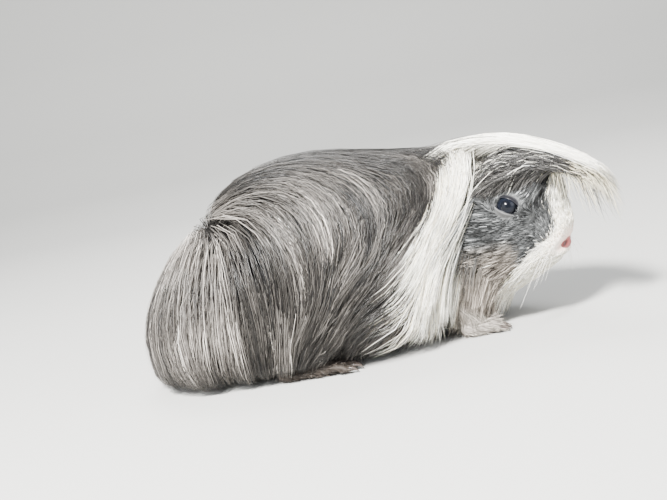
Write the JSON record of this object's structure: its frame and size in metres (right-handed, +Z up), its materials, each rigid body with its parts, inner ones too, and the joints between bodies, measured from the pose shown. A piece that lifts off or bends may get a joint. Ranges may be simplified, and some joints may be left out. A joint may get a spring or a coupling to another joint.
{
  "type": "guinea pig",
  "caption": "Life-size long-haired guinea pig standing on all four feet, head turned a little to its right, coat parted at the rump and falling to the floor, forelock over the face.",
  "frame": {"origin": "centre of the animal's overall box in X and Y, on the floor it stands on (z = 0)", "axes": "+X from the rump to the nose, +Y to the animal's left side, +Z up"},
  "size_m": [0.2802, 0.1388, 0.1185],
  "materials": {
    "grey_coat": "long silvery grey hair",
    "white_coat": "long white hair",
    "face_fur": "short grey and white fur",
    "pink_skin": "bare pink skin",
    "foot_skin": "short brown fur and dark claws",
    "eye": "wet, glossy, nearly black"
  },
  "bodies": {
    "root": {"rump": "grey_coat", "flank": "grey_coat", "shoulder": "grey_coat", "neck": "white_coat", "throat": "grey_coat", "head": "face_fur", "jaw": "white_coat", "forelock": "white_coat", "nose": "pink_skin", "ear_left": "pink_skin", "ear_right": "pink_skin", "eye_left": "eye", "eye_right": "eye", "foreleg_left": "foot_skin", "foreleg_right": "foot_skin", "hindleg_left": "foot_skin", "hindleg_right": "foot_skin"}
  },
  "joints": []
}
